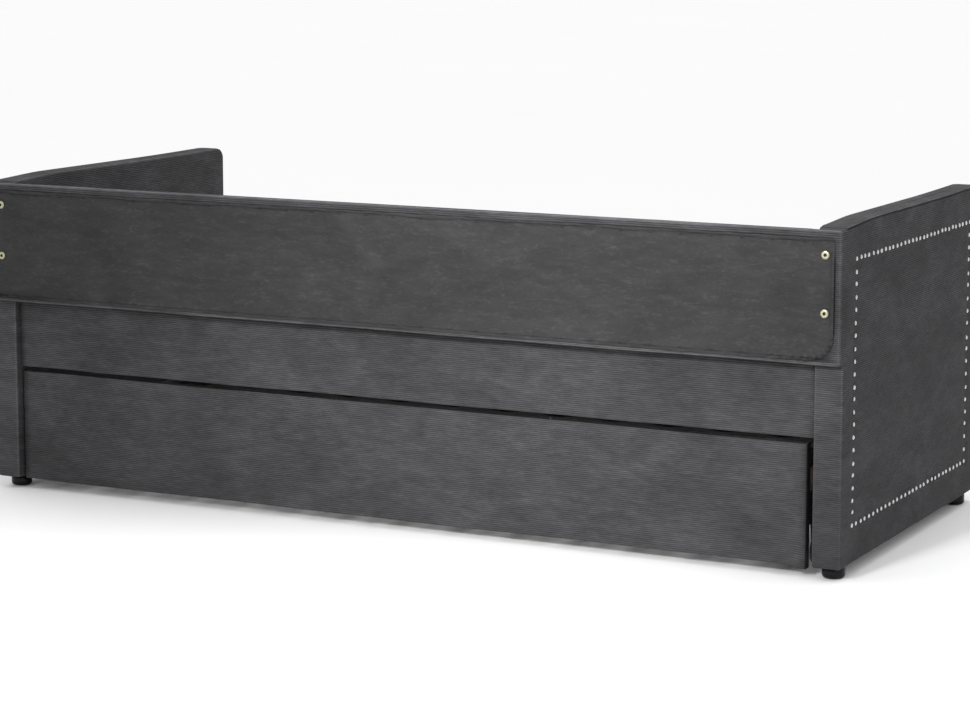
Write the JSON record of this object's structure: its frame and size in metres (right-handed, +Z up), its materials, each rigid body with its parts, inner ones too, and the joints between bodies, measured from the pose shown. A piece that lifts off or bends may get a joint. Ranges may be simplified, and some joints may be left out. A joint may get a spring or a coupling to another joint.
{
  "type": "trundle bed",
  "caption": "Upholstered daybed with padded arms, a low bolted-on back and a slatted base, over a slatted trundle that rolls out to the front on casters.",
  "frame": {"origin": "on the floor, at the centre of the overall width and depth", "axes": "+X along the bed towards the right arm as seen from the front, +Y to the rear where the back panel is, +Z up; the trundle rolls out along -Y"},
  "size_m": [2.134, 0.946, 0.744],
  "materials": {
    "upholstery": "fine corduroy, charcoal, matt with a soft pile sheen",
    "dust_cover": "thin non-woven cloth, dark grey, matt",
    "timber": "sawn pine and plywood, unfinished",
    "slat_pine": "planed pine, unfinished",
    "pale_zinc": "bright zinc plate, faintly yellow",
    "dark_steel": "black powder coat",
    "bright_steel": "bright zinc plate",
    "foot_gloss": "glossy black",
    "caster_wheel": "hard grey-black plastic tread"
  },
  "bodies": {
    "bed": {"left_arm_core": "timber", "left_arm_cover": "upholstery", "right_arm_core": "timber", "right_arm_cover": "upholstery", "foot_rear_left": "foot_gloss", "foot_rear_right": "foot_gloss", "foot_front_left": "foot_gloss", "foot_front_right": "foot_gloss", "back_board": "timber", "back_cover": "upholstery", "back_dust_cover": "dust_cover", "back_bolt_left_lower": "pale_zinc", "back_bolt_left_upper": "pale_zinc", "back_bolt_right_lower": "pale_zinc", "back_bolt_right_upper": "pale_zinc", "rear_rail_cover": "upholstery", "rear_rail_board": "timber", "rail_bracket_rear_left": "dark_steel", "rail_bolt_rear_left_lower": "bright_steel", "rail_bolt_rear_left_upper": "bright_steel", "rail_bracket_rear_right": "dark_steel", "rail_bolt_rear_right_lower": "bright_steel", "rail_bolt_rear_right_upper": "bright_steel", "rear_slat_ledge": "timber", "front_rail_cover": "upholstery", "front_rail_board": "timber", "rail_bracket_front_left": "dark_steel", "rail_bolt_front_left_lower": "bright_steel", "rail_bolt_front_left_upper": "bright_steel", "rail_bracket_front_right": "dark_steel", "rail_bolt_front_right_lower": "bright_steel", "rail_bolt_front_right_upper": "bright_steel", "front_slat_ledge": "timber", "bed_slat_roll": "slat_pine"},
    "trundle": {"trundle_rear_cover": "upholstery", "trundle_rear_board": "timber", "trundle_rear_ledge": "timber", "trundle_front_cover": "upholstery", "trundle_front_board": "timber", "trundle_front_ledge": "timber", "trundle_left_end_cover": "upholstery", "trundle_left_end_board": "timber", "trundle_right_end_cover": "upholstery", "trundle_right_end_board": "timber", "trundle_slat_roll": "slat_pine", "caster_fork_rear_left": "dark_steel", "caster_axle_rear_left": "bright_steel", "caster_fork_rear_right": "dark_steel", "caster_axle_rear_right": "bright_steel", "caster_fork_front_left": "dark_steel", "caster_axle_front_left": "bright_steel", "caster_fork_front_right": "dark_steel", "caster_axle_front_right": "bright_steel"},
    "wheel_rear_left": {"caster_wheel_rear_left": "caster_wheel"},
    "wheel_rear_right": {"caster_wheel_rear_right": "caster_wheel"},
    "wheel_front_left": {"caster_wheel_front_left": "caster_wheel"},
    "wheel_front_right": {"caster_wheel_front_right": "caster_wheel"}
  },
  "joints": [
    {"name": "trundle_slide", "type": "slide", "parent": "bed", "child": "trundle", "axis": [0, -1, 0], "range_m": [0, 0.9]},
    {"name": "wheel_rear_left_spin", "type": "hinge", "parent": "trundle", "child": "wheel_rear_left", "pos_m": [-0.9657, 0.293, 0.032], "axis": [1, 0, 0], "continuous": true},
    {"name": "wheel_rear_right_spin", "type": "hinge", "parent": "trundle", "child": "wheel_rear_right", "pos_m": [0.9797, 0.293, 0.032], "axis": [1, 0, 0], "continuous": true},
    {"name": "wheel_front_left_spin", "type": "hinge", "parent": "trundle", "child": "wheel_front_left", "pos_m": [-0.9657, -0.323, 0.032], "axis": [1, 0, 0], "continuous": true},
    {"name": "wheel_front_right_spin", "type": "hinge", "parent": "trundle", "child": "wheel_front_right", "pos_m": [0.9797, -0.323, 0.032], "axis": [1, 0, 0], "continuous": true}
  ],
  "couplings": [
    {"joint": "wheel_rear_left_spin", "follows": "trundle_slide", "rad_per_m": 31.25},
    {"joint": "wheel_rear_right_spin", "follows": "trundle_slide", "rad_per_m": 31.25},
    {"joint": "wheel_front_left_spin", "follows": "trundle_slide", "rad_per_m": 31.25},
    {"joint": "wheel_front_right_spin", "follows": "trundle_slide", "rad_per_m": 31.25}
  ]
}
